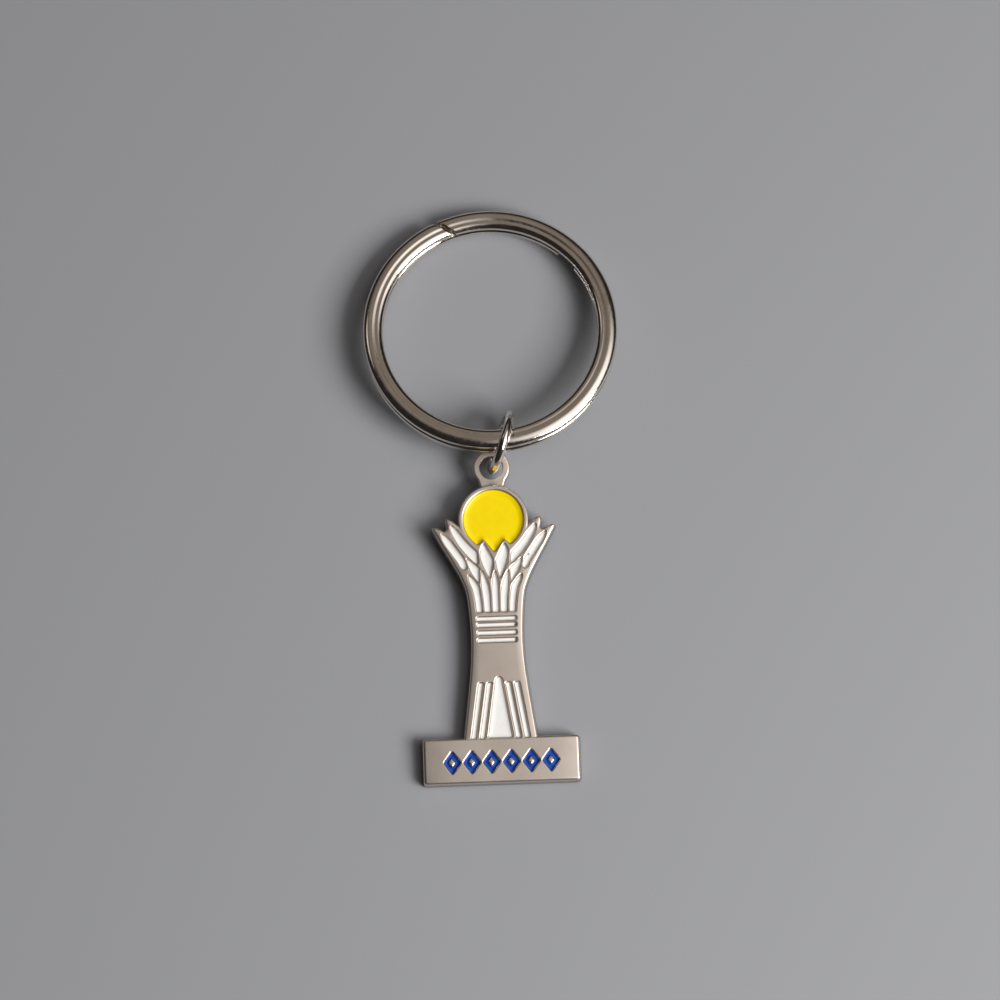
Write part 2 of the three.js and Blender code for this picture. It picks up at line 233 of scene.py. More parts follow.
def tower_outline():
    """The right side up to the disc's rim, then its mirror down the left side."""
    side = smooth_line(TOWER_SIDE)
    whole_petals = outline(TOWER_PETALS)
    last = int(np.argmin(np.linalg.norm(whole_petals - np.array(TOWER_PETALS[-1][-2:]), axis=1)))
    right = np.vstack([side, whole_petals[1:last + 1]])
    left = right[::-1] * (-1, 1)
    return softened(np.vstack([right, left]), 0.07)


def loop_outline():
    circle_part = arc(LOOP_RADIUS, LOOP_CENTRE_V, NECK_TOP_ANGLE, 180 - NECK_TOP_ANGLE)
    neck = outline([
        (-NECK_HALF_WIDTH, NECK_MIDDLE_V), (-NECK_HALF_WIDTH, NECK_FOOT_V),
        (NECK_HALF_WIDTH, NECK_FOOT_V), (NECK_HALF_WIDTH, NECK_MIDDLE_V),
    ])
    below = neck[neck[:, 1] < NECK_MIDDLE_V - 1e-6]
    ends = np.array([[NECK_HALF_WIDTH, NECK_MIDDLE_V]]) * (-1, 1)
    return softened(np.vstack([circle_part, ends, below, ends * (-1, 1)]))


def disc_outline():
    corner = math.degrees(math.acos(DISC_CORNER_U / DISC_RADIUS))
    rim = arc(DISC_RADIUS, DISC_CENTRE_V, -corner, 180 + corner)
    zigzag = [tuple(rim[-1]), *DISC_TIPS, tuple(rim[0])]
    teeth = outline(zigzag)
    last = int(np.argmin(np.linalg.norm(teeth - rim[0], axis=1)))
    return np.vstack([rim, teeth[1:last]])


PETALS = {
    "petal_outer": [
        (6.28, 27.5), (6.3, 26.85, 5.75, 26.0), (4.35, 23.95), (4.0, 23.05, 3.6, 23.05),
        (3.15, 23.2, 3.5, 24.05), (4.12, 25.0), (4.8, 26.0), (5.4, 26.95, 6.28, 27.5),
    ],
    "petal_inner": [
        (5.05, 28.45), (5.3, 28.0, 4.78, 27.05), (4.18, 26.0), (3.38, 24.95),
        (2.75, 24.2, 2.05, 23.65), (1.9, 24.35, 2.08, 25.1), (2.95, 25.85, 3.8, 27.0),
        (4.3, 27.75, 5.05, 28.45),
    ],
    "petal_side": [
        (3.33, 24.35), (3.2, 23.4, 2.7, 22.5), (2.35, 21.9, 1.92, 21.4), (1.85, 23.05),
        (2.5, 23.75, 3.33, 24.35),
    ],
    "petal_centre": [
        (1.2, 26.1), (1.7, 25.5, 1.68, 24.6), (1.4, 23.3, 0.62, 21.9), (0.3, 22.9, 0.16, 24.05),
    ],
    "petal_low_outer": [
        (3.22, 22.35), (3.12, 21.5, 2.83, 20.95), (2.45, 19.9, 2.33, 17.85), (1.65, 17.85),
        (1.7, 19.8, 2.0, 20.95), (2.5, 21.8, 3.22, 22.35),
    ],
    "petal_low_inner": [
        (1.62, 22.85), (1.75, 21.5, 1.55, 20.2), (1.4, 19.0, 1.37, 17.85), (0.6, 17.85),
        (0.6, 20.6, 0.85, 21.1), (1.1, 22.1, 1.62, 22.85),
    ],
}
MIDDLE_PETAL = [
    (0, 22.8), (0.42, 21.6, 0.4, 20.2), (0.38, 17.85), (-0.38, 17.85), (-0.4, 20.2),
    (-0.42, 21.6, 0, 22.8),
]
TRIANGLE = [
    (-1.45, 2.7), (1.45, 2.7), (0.38, 9.6), (0.2, 9.95, 0, 9.95), (-0.2, 9.95, -0.38, 9.6),
]


def bar_outline(centre_v):
    half = BAR_THICKNESS / 2
    return outline([
        (-BAR_HALF_WIDTH, centre_v - half), (BAR_HALF_WIDTH, centre_v - half),
        (BAR_HALF_WIDTH, centre_v + half), (-BAR_HALF_WIDTH, centre_v + half),
    ])


def stripe_outline(top_u):
    half = STRIPE_WIDTH / 2
    foot_u = top_u + math.copysign(STRIPE_SPLAY * (STRIPE_TOP_V - STRIPE_BOTTOM_V), top_u)
    return outline([
        (foot_u - half, STRIPE_BOTTOM_V), (foot_u + half, STRIPE_BOTTOM_V),
        (top_u + half, STRIPE_TOP_V), (top_u - half, STRIPE_TOP_V),
    ])


def lozenge(index, scale):
    centre_u = (index - (MARK_COUNT - 1) / 2) * MARK_PITCH
    u, v = scale * MARK_WIDTH / 2, scale * MARK_HEIGHT / 2
    return outline([
        (centre_u, MARK_CENTRE_V - v), (centre_u + u, MARK_CENTRE_V),
        (centre_u, MARK_CENTRE_V + v), (centre_u - u, MARK_CENTRE_V),
    ])


def enamel_cells():
    """Every cell as (CAD node, record slot, its outline and any island in it)."""
    cells = [("enamel_disc", "yellow_enamel", [softened(disc_outline())])]
    for name, steps in PETALS.items():
        cells.append((f"enamel_{name}_left", "white_enamel", [softened(outline(steps, -1))]))
        cells.append((f"enamel_{name}_right", "white_enamel", [softened(outline(steps))]))
    cells.append(("enamel_petal_low_middle", "white_enamel", [softened(outline(MIDDLE_PETAL))]))
    for index, centre_v in enumerate(BAR_CENTRES_V):
        cells.append((f"enamel_bar_{index + 1}", "white_enamel", [softened(bar_outline(centre_v))]))
    for index, top_u in enumerate(STRIPE_TOPS_U):
        cells.append((f"enamel_stripe_{index + 1}", "white_enamel", [softened(stripe_outline(top_u))]))
    cells.append(("enamel_triangle", "white_enamel", [softened(outline(TRIANGLE))]))
    for index in range(MARK_COUNT):
        loops = [softened(lozenge(index, 1)), softened(lozenge(index, MARK_CORE))]
        cells.append((f"enamel_mark_{index + 1}", "blue_enamel", loops))
    return cells


# ------------------------------------------------------- distances and profiles

def depth_inside(points, loop):
    """How far each point is inside a closed loop. Outside it is negative."""
    a = loop
    b = np.roll(loop, -1, axis=0)
    along = b - a
    square = (along ** 2).sum(1)
    result = np.empty(len(points))
    for start in range(0, len(points), BATCH):
        p = points[start:start + BATCH]
        t = np.clip(((p[:, None] - a) * along).sum(2) / square, 0, 1)
        near = a + t[..., None] * along
        distance = np.sqrt(((p[:, None] - near) ** 2).sum(2).min(1))
        crosses = (a[:, 1] > p[:, 1:2]) != (b[:, 1] > p[:, 1:2])
        rise = np.where(along[:, 1] == 0, 1, along[:, 1])
        at_u = a[:, 0] + (p[:, 1:2] - a[:, 1]) * along[:, 0] / rise
        inside = (crosses & (p[:, :1] < at_u)).sum(1) % 2 == 1
        result[start:start + BATCH] = np.where(inside, distance, -distance)
    return result


def depth_in_cell(points, loops):
    """How far each point is inside the first loop and outside its islands."""
    depth = np.full(len(points), -1e3)
    low, high = loops[0].min(0) - 1, loops[0].max(0) + 1
    near = ((points > low) & (points < high)).all(1)
    if near.any():
        depths = [depth_inside(points[near], loop) for loop in loops]
        depth[near] = np.minimum.reduce([depths[0], *[-d for d in depths[1:]]])
    return depth


def rounding(share):
    """A quarter circle's drop: 0 where the share across it is 1, and 1 at its foot."""
    return 1 - np.sqrt(np.clip(1 - (1 - np.clip(share, 0, 1)) ** 2, 0, 1))


def offset_line(loop, distance):
    """The loop moved inward, as its points and edges. What folds over is left out."""
    before, after = np.roll(loop, 1, axis=0), np.roll(loop, -1, axis=0)
    tangent = after - before
    tangent /= np.linalg.norm(tangent, axis=1)[:, None]
    inward = np.c_[-tangent[:, 1], tangent[:, 0]]
    area = (loop[:, 0] * after[:, 1] - after[:, 0] * loop[:, 1]).sum()
    moved = loop + inward * distance * np.sign(area)
    kept = np.abs(depth_inside(moved, loop) - distance) < 0.02 + 0.03 * abs(distance)
    number = np.cumsum(kept) - 1
    following = np.roll(np.arange(len(loop)), -1)
    edges = [(number[i], number[following[i]]) for i in range(len(loop))
             if kept[i] and kept[following[i]]]
    return moved[kept], edges


# ------------------------------------------------------------------ flat meshes

def triangulate(lines, inside):
    """Triangles over all these lines, where inside is true at a triangle's middle."""
    points, edges = [], []
    for line_points, line_edges in lines:
        first = len(points)
        points += [Vector(p) for p in line_points]
        edges += [(first + int(i), first + int(j)) for i, j in line_edges]
    made = geometry.delaunay_2d_cdt(points, edges, [], 0, 1e-5, False)
    verts = np.array([tuple(v) for v in made[0]])
    faces = np.array(made[2])
    faces = faces[inside(verts[faces].mean(1))]
    used, faces = np.unique(faces, return_inverse=True)
    return verts[used], faces.reshape(-1, 3)


def rim_edges(faces):
    """The directed edges that only one triangle has."""
    edges = np.vstack([faces[:, [0, 1]], faces[:, [1, 2]], faces[:, [2, 0]]])
    keys = np.sort(edges, axis=1)
    _, first, count = np.unique(keys, axis=0, return_index=True, return_counts=True)
    return edges[first[count == 1]]


def closed_line(loop):
    count = len(loop)
    return loop, [(i, (i + 1) % count) for i in range(count)]


def place_key(point):
    """The same for two points in one place, to look one up by the other."""
    return tuple(np.round(point, 4))


def slab(lines, inside, top, bottom, bottom_lines=()):
    """A closed body between two heights over the plane. Where they meet at its rim,
    the two sheets share their points, and elsewhere a wall joins them."""
    upper, upper_faces = triangulate(lines, inside)
    rim = rim_edges(upper_faces)
    rim_points = upper[np.unique(rim)]
    number = {place_key(p): i for i, p in enumerate(rim_points)}
    rim_steps = [(number[place_key(upper[i])], number[place_key(upper[j])]) for i, j in rim]
    lower, lower_faces = triangulate([(rim_points, rim_steps), *bottom_lines], inside)
    tops, bottoms = top(upper), bottom(lower)
    verts = [np.c_[upper, tops], np.c_[lower, bottoms]]
    at_upper = {place_key(upper[i]): i for i in np.unique(rim)}
    moved = np.arange(len(lower)) + len(upper)
    for i, p in enumerate(lower):
        above = at_upper.get(place_key(p))
        if above is not None and abs(tops[above] - bottoms[i]) < 1e-3:
            moved[i] = above
    faces = [*upper_faces.tolist(), *moved[lower_faces[:, ::-1]].tolist()]
    at_lower = {place_key(p): moved[i] for i, p in enumerate(lower)}
    for i, j in rim:
        below_i = at_lower[place_key(upper[i])]
        below_j = at_lower[place_key(upper[j])]
        wall = list(dict.fromkeys([int(j), int(i), int(below_i), int(below_j)]))
        if len(wall) > 2:
            faces.append(wall)
    return np.vstack(verts), faces


def mesh_object(name, verts, faces, matrix, material, sharp_degrees=40):
    """A piece from millimetre points in a frame that the matrix takes to the row frame."""
    mesh = bpy.data.meshes.new(name)
    mesh.from_pydata([matrix @ (Vector(v) * MM) for v in verts], [], faces)
    mesh.validate()
    piece = bpy.data.objects.new(name, mesh)
    bpy.context.scene.collection.objects.link(piece)
    tidy = bmesh.new()
    tidy.from_mesh(mesh)
    bmesh.ops.delete(tidy, geom=[v for v in tidy.verts if not v.link_faces], context="VERTS")
    tidy.to_mesh(mesh)
    tidy.free()
    mesh.shade_smooth()
    mesh.set_sharp_from_angle(angle=math.radians(sharp_degrees))
    mesh.materials.append(material)
    return piece


# ------------------------------------------------------------------ the casting

class Plate:
    """A flat part of the casting: its outline and any hole, its back and front, the
    side wall's draft, the rounding of its front edge, and how far in from the edge the
    face still slopes, and by how much."""

    def __init__(self, loops, back_w, front_w, draft, round_width, round_depth,
                 slope_width=1, slope_drop=0):
        self.loops = loops
        self.slope_width = slope_width
        self.slope_drop = slope_drop
        self.back_w = back_w
        self.front_w = front_w
        self.draft = draft
        self.round_width = round_width
        self.round_depth = round_depth

    def depth(self, points):
        inward = depth_inside(points, self.loops[0])
        for hole in self.loops[1:]:
            inward = np.minimum(inward, -depth_inside(points, hole) * HOLE_SHARPNESS)
        return inward

    def front(self, depth):
        slope = self.slope_drop * np.clip(1 - (depth - self.draft) / self.slope_width, 0, 1) ** 2
        foot_w = self.front_w - self.round_depth - self.slope_drop
        wall = PARTING_W + (foot_w - PARTING_W) * np.clip(depth / self.draft, 0, 1)
        rounded = self.round_depth * rounding((depth - self.draft) / self.round_width)
        crown = self.front_w - slope - rounded
        return np.where(depth < -TOUCH, -100, np.where(depth < self.draft, wall, crown))

    def back(self, depth):
        rise = (PARTING_W - self.back_w) * rounding(depth / BACK_ROUND_WIDTH)
        return np.where(depth < -TOUCH, 100, self.back_w + rise)

    def lines(self, distances):
        for number, loop in enumerate(self.loops):
            yield closed_line(loop)
            for distance in distances:
                yield offset_line(loop, distance if number == 0 else -distance / HOLE_SHARPNESS)


def plates():
    return [
        Plate([softened(plinth_outline(), 0.05)], 0, FACE_W, 0.14, 0.34, 0.32),
        Plate([tower_outline()], 0, FACE_W, 0.16, 0.26, 0.26, 1.0, 0.06),
        Plate([circle(RIM_RADIUS, DISC_CENTRE_V)], 0, FACE_W, 0.08, 0.18, 0.2),
        Plate([loop_outline(), circle(LOOP_HOLE_RADIUS, LOOP_CENTRE_V)],
              LOOP_BACK_W, LOOP_FRONT_W, 0.05, 0.24, 0.24),
    ]


def lip_width(node_name):
    return DISC_LIP_WIDTH if node_name == "enamel_disc" else LIP_WIDTH


def lip(depth, width):
    """The metal's height beside and in a cell, by how far inside the cell it is."""
    crown = FACE_W - LIP_DEPTH * rounding(-depth / width)
    wall_foot = np.clip(depth / SUPPORT, 0, 1)
    wall = FACE_W - LIP_DEPTH - (FACE_W - LIP_DEPTH - CELL_FLOOR_W) * wall_foot
    return np.where(depth < 0, crown, wall)


def casting_mesh(cells):
    parts = plates()
    lines = []
    for part in parts:
        round_lines = [part.draft + part.round_width * share for share in ROUND_SHARES]
        slope_lines = []
        if part.slope_drop:
            slope_lines = [part.draft + part.slope_width * share for share in (0.5, 0.75, 1)]
        lines += part.lines([
            part.draft / 2, part.draft, *round_lines, round_lines[-1] + SUPPORT, *slope_lines,
        ])
    for node_name, _, loops in cells:
        width = lip_width(node_name)
        for number, loop in enumerate(loops):
            outward = -1 if number == 0 else 1
            lines.append(closed_line(loop))
            for share in [*ROUND_SHARES, 1 + SUPPORT / width]:
                lines.append(offset_line(loop, outward * width * share))
            lines.append(offset_line(loop, -outward * SUPPORT))
    back_lines = []
    for part in parts:
        back_lines += list(part.lines([BACK_ROUND_WIDTH * s for s in ROUND_SHARES[::2]]))[1:]

    def inside(points):
        return np.maximum.reduce([part.depth(points) for part in parts]) > 0

    def top(points):
        height = np.maximum.reduce([part.front(part.depth(points)) for part in parts])
        toward_end = (np.abs(points[:, 0]) / (PLINTH_WIDTH / 2)) ** 6
        height -= END_DROP * toward_end * (height > PARTING_W + 0.2)
        for node_name, _, loops in cells:
            height = np.minimum(height, lip(depth_in_cell(points, loops), lip_width(node_name)))
        return height

    def bottom(points):
        return np.minimum.reduce([part.back(part.depth(points)) for part in parts])

    return slab(lines, inside, top, bottom, back_lines)


def shade_attributes(piece, cells, frame_to_row):
    """How deep in a groove each point of the casting is, how far over its edge, and
    how far down its side wall. The loop's face lies lower than the rest."""
    row_to_frame = frame_to_row.inverted()
    places = np.array([row_to_frame @ v.co for v in piece.data.vertices]) / MM
    points, height = places[:, :2], places[:, 2]
    near_cell = np.full(len(points), -1e3)
    for _, _, loops in cells:
        near_cell = np.maximum(near_cell, depth_in_cell(points, loops))
    # groove steers the painted shade down in the cell grooves.
    groove = np.clip((FACE_W - height) / LIP_DEPTH, 0, 1) * (near_cell > -LIP_WIDTH)
    beyond_disc = np.hypot(points[:, 0], points[:, 1] - DISC_CENTRE_V) > RIM_RADIUS
    on_loop = beyond_disc & (points[:, 1] > DISC_CENTRE_V + RIM_RADIUS / 2)
    drop = np.where(on_loop, LOOP_FRONT_W, FACE_W) - height
    edge = np.clip((drop - EDGE_STARTS) / EDGE_DEPTH, 0, 1) * (near_cell <= -LIP_WIDTH)
    # wall steers the painted shade on the casting's side walls.
    wall = np.clip((drop - WALL_STARTS) / WALL_DEPTH, 0, 1) * (near_cell <= -LIP_WIDTH)
    for name, values in (("groove", groove), ("edge", edge), ("wall", wall)):
        attribute = piece.data.attributes.new(name, "FLOAT", "POINT")
        attribute.data.foreach_set("value", values.astype(np.float32))


# ------------------------------------------------------------------- the enamel

def soft_depth(points, loops):
    """The depth inside the cell without a crease along its middle."""
    nearness = np.zeros(len(points))
    for loop in loops:
        fine = np.vstack([loop, (loop + np.roll(loop, -1, axis=0)) / 2])
        length = np.linalg.norm(loop - np.roll(loop, -1, axis=0), axis=1).sum()
        share = length / len(fine) / (2 * SOFT_REACH)
        for start in range(0, len(points), BATCH):
            p = points[start:start + BATCH]
            gap = np.linalg.norm(p[:, None] - fine, axis=2)
            nearness[start:start + BATCH] += share * np.exp(-gap / SOFT_REACH).sum(1)
    return -SOFT_REACH * np.log(np.clip(nearness, 1e-9, 1))


def enamel_mesh(loops, meniscus):
    rims = [offset_line(loop, -EDGE_UNDER_LIP if number == 0 else EDGE_UNDER_LIP)[0]
            for number, loop in enumerate(loops)]
    lines = []
    for number, loop in enumerate(rims):
        lines.append(closed_line(loop))
        for distance in FILL_LINES:
            lines.append(offset_line(loop, distance if number == 0 else -distance))
    low, high = rims[0].min(0), rims[0].max(0)
    across, along = np.meshgrid(np.arange(low[0], high[0], FILL_GRID_SPACING),
                                np.arange(low[1], high[1], FILL_GRID_SPACING))
    grid = np.c_[across.ravel(), along.ravel()]
    lines.append((grid[depth_in_cell(grid, rims) > FILL_GRID_FROM], []))

    def inside(points):
        return depth_in_cell(points, rims) > 0

    def top(points):
        share = np.clip(1 - soft_depth(points, rims) / MENISCUS_REACH, 0, 1)
        return FACE_W - ENAMEL_DEPTH + meniscus * share ** 2

    def bottom(points):
        return np.full(len(points), FILL_FLOOR_W)

    return slab(lines, inside, top, bottom)


# -------------------------------------------------------------------- the rings

def section_points(half_width, half_height, squareness, count):
    """A rounded section, from an ellipse at squareness 2 toward an oblong above it."""
    t = np.arange(count) * 2 * math.pi / count
    power = 2 / squareness
    across = half_width * np.sign(np.cos(t)) * np.abs(np.cos(t)) ** power
    upward = half_height * np.sign(np.sin(t)) * np.abs(np.sin(t)) ** power
    return np.c_[across, upward]


def end_stations(start, end, step, inset, radius):
    """Angles along a wire, closer together where its two ends round over, with how
    far the section shrinks at each."""
    share = np.array([0, 0.03, 0.12, 0.28, 0.5, 0.75])
    lead = share * inset / radius
    middle = np.linspace(start + inset / radius, end - inset / radius, round((end - start) / step))
    angles = np.r_[start + lead, middle, (end - lead)[::-1]]
    from_end = np.minimum(angles - start, end - angles) * radius
    shrink = inset * rounding(from_end / inset)
    return angles, shrink


def swept_ring(radius, section, angles, shrink, lift=None, skew=None):
    """A closed tube round the local Z axis. lift moves the section along Z, and skew
    turns its outer side ahead of its inner side, both by angle."""
    lift = np.zeros(len(angles)) if lift is None else lift
    skew = np.zeros(len(angles)) if skew is None else skew
    half = np.abs(section).max(0)
    count = len(section)
    verts = []
    for angle, inset, height, lean in zip(angles, shrink, lift, skew):
        ring = section * (1 - inset / half)
        turn = angle + lean * ring[:, 0] / radius
        reach = radius + ring[:, 0]
        verts.append(np.c_[reach * np.cos(turn), reach * np.sin(turn), height + ring[:, 1]])
    faces = []
    for i in range(len(angles) - 1):
        for j in range(count):
            k = (j + 1) % count
            a, b = i * count, (i + 1) * count
            faces.append((a + j, a + k, b + k, b + j))
    first, last = 0, (len(angles) - 1) * count
    faces.append(tuple(first + j for j in reversed(range(count))))
    faces.append(tuple(last + j for j in range(count)))
    return np.vstack(verts), faces


def split_ring_layers():
    """The upper and the lower turn. Where the wire crosses between them they sink into
    each other, and each free end is cut askew."""
    radius = SPLIT_OUTER_RADIUS - SPLIT_WIRE_WIDTH / 2
    middle = (SPLIT_WIRE_THICKNESS + SPLIT_TURN_GAP) / 2
    half_width, half_height = SPLIT_WIRE_WIDTH / 2, SPLIT_WIRE_THICKNESS / 2
    outer_side = section_points(half_width, half_height, OUTER_SQUARENESS, 56)
    seam_side = section_points(half_width, half_height, SEAM_SQUARENESS, 56)
    crossing = np.radians([SPLIT_LOWER_END[1], SPLIT_UPPER_END[0]])
    layers = []
    for side, gap, (start_skew, end_skew) in (
        (1, SPLIT_UPPER_END, SPLIT_UPPER_SKEWS),
        (-1, SPLIT_LOWER_END, SPLIT_LOWER_SKEWS),
    ):
        start, end = math.radians(gap[1]), math.radians(gap[0] + 360)
        angles, shrink = end_stations(start, end, math.radians(1.5), SPLIT_END_ROUND, radius)
        place = np.mod(angles, 2 * math.pi)
        fade = math.radians(CROSSING_FADE_DEGREES)
        into = np.clip((place - crossing[0] + fade) / fade, 0, 1)
        into *= np.clip((crossing[1] + fade - place) / fade, 0, 1)
        lift = side * (middle - CROSSING_SINK * into * into * (3 - 2 * into))
        skew_fade = math.radians(SKEW_FADE_DEGREES)
        skew = start_skew * np.exp(-(angles - start) / skew_fade)
        skew += end_skew * np.exp(-(end - angles) / skew_fade)
        outward = outer_side[:, 1] * side > 0
        section = np.where(outward[:, None], outer_side, seam_side)
        drawn_line = np.exp(-((section[:, 0] - DRAWN_LINE_AT) / DRAWN_LINE_WIDTH) ** 2)
        section[:, 1] -= side * DRAWN_LINE_DEPTH * drawn_line * outward
        layers.append(swept_ring(radius, section, angles, shrink, lift, skew))
    return layers


def joined(name, parts, matrix, material):
    """One body from bodies that run into each other."""
    pieces = [mesh_object(f"{name}_{i}", verts, faces, matrix, material)
              for i, (verts, faces) in enumerate(parts)]
    whole = pieces[0]
    for other in pieces[1:]:
        union = whole.modifiers.new("union", "BOOLEAN")
        union.operation = "UNION"
        union.solver = "EXACT"
        union.object = other
        evaluated = whole.evaluated_get(bpy.context.evaluated_depsgraph_get())
        mesh = bpy.data.meshes.new_from_object(evaluated)
        whole.modifiers.remove(union)
        whole.data = mesh
        bpy.data.objects.remove(other)
    whole.name = name
    whole.data.set_sharp_from_angle(angle=math.radians(40))
    return whole


# ---------------------------------------------------------------- the materials

# Pits and dirt in the white enamel: where each is on the face, and its radius.
WHITE_SPECKS = [
    (4.08, 24.72, 0.1), (4.0, 25.2, 0.05), (2.22, 16.25, 0.12), (2.24, 14.4, 0.12),
    (0.55, 25.0, 0.05),
]
SPECK_COLOR = (0.12, 0.11, 0.1)
CAST_NICKEL = ((0.64, 0.56, 0.495), (0.70, 0.615, 0.545))
WORN_NICKEL = (0.80, 0.73, 0.66)
# Painted shade: the metal down in the cell grooves, darkened where their walls fall into shade.
GROOVE_PAINTED_SHADE = (0.2, 0.175, 0.155)
# Painted shade: the casting's side walls darkened, as they look in the shade beside the pendant.
WALL_PAINTED_SHADE = (0.22, 0.195, 0.175)
WIRE_NICKEL = ((0.74, 0.67, 0.60), (0.84, 0.78, 0.72))


def material(name, color, roughness, metallic=0.0):
    made = bpy.data.materials.new(name)
    made.use_nodes = True
    shader = made.node_tree.nodes["Principled BSDF"]
    shader.inputs["Base Color"].default_value = (*color, 1)
    shader.inputs["Roughness"].default_value = roughness
    shader.inputs["Metallic"].default_value = metallic
    return made, shader


def node(made, kind, **inputs):
    added = made.node_tree.nodes.new(kind)
    for name, value in inputs.items():
        socket = added.inputs[name.replace("_", " ")]
        if isinstance(value, bpy.types.NodeSocket):
            made.node_tree.links.new(value, socket)
        else:
            socket.default_value = value
    return added


def noise(made, size, detail=2.0, stretch=None):
    """Noise whose blotches are about this big, in millimetres of the piece itself."""
    place = made.node_tree.nodes.new("ShaderNodeTexCoord").outputs["Object"]
    if stretch is not None:
        mapping = made.node_tree.nodes.new("ShaderNodeMapping")
        mapping.inputs["Scale"].default_value = stretch
        made.node_tree.links.new(place, mapping.inputs["Vector"])
        place = mapping.outputs["Vector"]
    made_noise = node(made, "ShaderNodeTexNoise", Vector=place, Scale=1 / (size * MM), Detail=detail)
    return made_noise.outputs["Fac"]


def ramp(made, value, from_low, from_high, to_low, to_high):
    mapped = made.node_tree.nodes.new("ShaderNodeMapRange")
    for socket, amount in zip(mapped.inputs[:5], (value, from_low, from_high, to_low, to_high)):
        if isinstance(amount, bpy.types.NodeSocket):
            made.node_tree.links.new(amount, socket)
        else:
            socket.default_value = amount
    return mapped.outputs["Result"]


def blend_colors(made, share, first, second):
    mixed = made.node_tree.nodes.new("ShaderNodeMix")
    mixed.data_type = "RGBA"
    for socket, value in ((mixed.inputs[0], share), (mixed.inputs[6], first), (mixed.inputs[7], second)):
        if isinstance(value, bpy.types.NodeSocket):
            made.node_tree.links.new(value, socket)
        else:
            socket.default_value = (*value, 1)
    return mixed.outputs[2]


def bumped(made, shader, height, distance, strength=1.0):
    bump = node(made, "ShaderNodeBump", Height=height, Distance=distance * MM, Strength=strength)
    connect(made, bump.outputs["Normal"], shader.inputs["Normal"])


def connect(made, output, socket):
    made.node_tree.links.new(output, socket)


def attribute(made, name):
    reader = node(made, "ShaderNodeAttribute")
    reader.attribute_name = name
    return reader.outputs["Fac"]


def satin_nickel():
    made, shader = material("satin_nickel", (0.6, 0.55, 0.5), 0.36, 1.0)
    edge = attribute(made, "edge")
    cast = blend_colors(made, ramp(made, noise(made, 5), 0.35, 0.65, 0, 1), *CAST_NICKEL)
    worn = blend_colors(made, edge, cast, WORN_NICKEL)
    # Painted shade down in the cell grooves.
    groove_shade_share = ramp(made, attribute(made, "groove"), 0.3, 1, 0, 0.35)
    groove_shaded = blend_colors(made, groove_shade_share, worn, GROOVE_PAINTED_SHADE)
    # Painted shade on the side walls.
    wall_shade_share = ramp(made, attribute(made, "wall"), 0, 1, 0, 0.75)
    wall_shaded = blend_colors(made, wall_shade_share, groove_shaded, WALL_PAINTED_SHADE)
    connect(made, wall_shaded, shader.inputs["Base Color"])
    grain = ramp(made, noise(made, 0.12, 4), 0.3, 0.7, 0.34, 0.42)
    polished = made.node_tree.nodes.new("ShaderNodeMath")
    polished.operation = "MULTIPLY_ADD"
    connect(made, edge, polished.inputs[0])
    polished.inputs[1].default_value = -0.12
    connect(made, grain, polished.inputs[2])
    connect(made, polished.outputs[0], shader.inputs["Roughness"])
    bumped(made, shader, noise(made, 0.09, 3), 0.0016)
    return made


def polished_nickel():
    made, shader = material("polished_nickel", (0.8, 0.74, 0.68), 0.12, 1.0)
    tone = blend_colors(made, ramp(made, noise(made, 3.5), 0.3, 0.7, 0, 1), *WIRE_NICKEL)
    connect(made, tone, shader.inputs["Base Color"])
    connect(made, ramp(made, noise(made, 0.5, 5), 0.35, 0.7, 0.09, 0.2), shader.inputs["Roughness"])
    bumped(made, shader, noise(made, 0.6, 4), 0.0015)
    return made


def enamel(name, color, shade, roughness, gloss, specks=()):
    made, shader = material(name, color, roughness)
    shader.inputs["Specular IOR Level"].default_value = gloss
    tinted = blend_colors(made, ramp(made, noise(made, 1.1, 3), 0.35, 0.7, 0, 1), color, shade)
    place = made.node_tree.nodes.new("ShaderNodeTexCoord").outputs["Object"]
    for u, v, size in specks:
        gap = made.node_tree.nodes.new("ShaderNodeVectorMath")
        gap.operation = "DISTANCE"
        connect(made, place, gap.inputs[0])
        gap.inputs[1].default_value = pendant_frame @ (Vector((u, v, FACE_W - ENAMEL_DEPTH)) * MM)
        share = ramp(made, gap.outputs["Value"], size * MM, size * 1.8 * MM, 0.8, 0)
        tinted = blend_colors(made, share, tinted, SPECK_COLOR)
    connect(made, tinted, shader.inputs["Base Color"])
    uneven = ramp(made, noise(made, 0.4, 3), 0.3, 0.7, roughness, roughness + 0.08)
    connect(made, uneven, shader.inputs["Roughness"])
    bumped(made, shader, noise(made, 0.9, 2), 0.004)
    return made


# ---------------------------------------------------------- where things lie

record = frame["record"]
mount = next(m for m in record["mounts"] if m["name"] == "back_face")
joint_at = {j["name"]: Vector(j["pos_m"]) for j in frame["joints"]}

MOUNT_V = 12
face_out = -Vector(mount["axis"]).normalized()
toward_loop = face_out.cross(Vector((1, 0, 0)))
back_origin = Vector(mount["pos_m"]) - toward_loop * MOUNT_V * MM
pendant_frame = Matrix((
    (1, toward_loop.x, face_out.x, back_origin.x),
    (0, toward_loop.y, face_out.y, back_origin.y),
    (0, toward_loop.z, face_out.z, back_origin.z),
    (0, 0, 0, 1),
))


def turned(degrees, axis):
    return Matrix.Rotation(math.radians(degrees), 4, axis)


jump_turn = turned(JUMP_YAW_DEGREES, "Z") @ turned(JUMP_LEAN_DEGREES, "Y")
jump_frame = Matrix.Translation(joint_at["jump_ring_swing"] + JUMP_CENTRE_FROM_BAND * MM) @ jump_turn

split_turn = turned(SPLIT_YAW_DEGREES, "Z") @ turned(-SPLIT_LEAN_DEGREES, "X")
split_reach = Vector((0, SPLIT_OUTER_RADIUS - SPLIT_WIRE_WIDTH / 2, 0))
split_at = Matrix.Translation(joint_at["split_ring_swing"])
split_frame = split_at @ split_turn @ Matrix.Translation(split_reach * MM)

# ------------------------------------------------------------------- the pieces

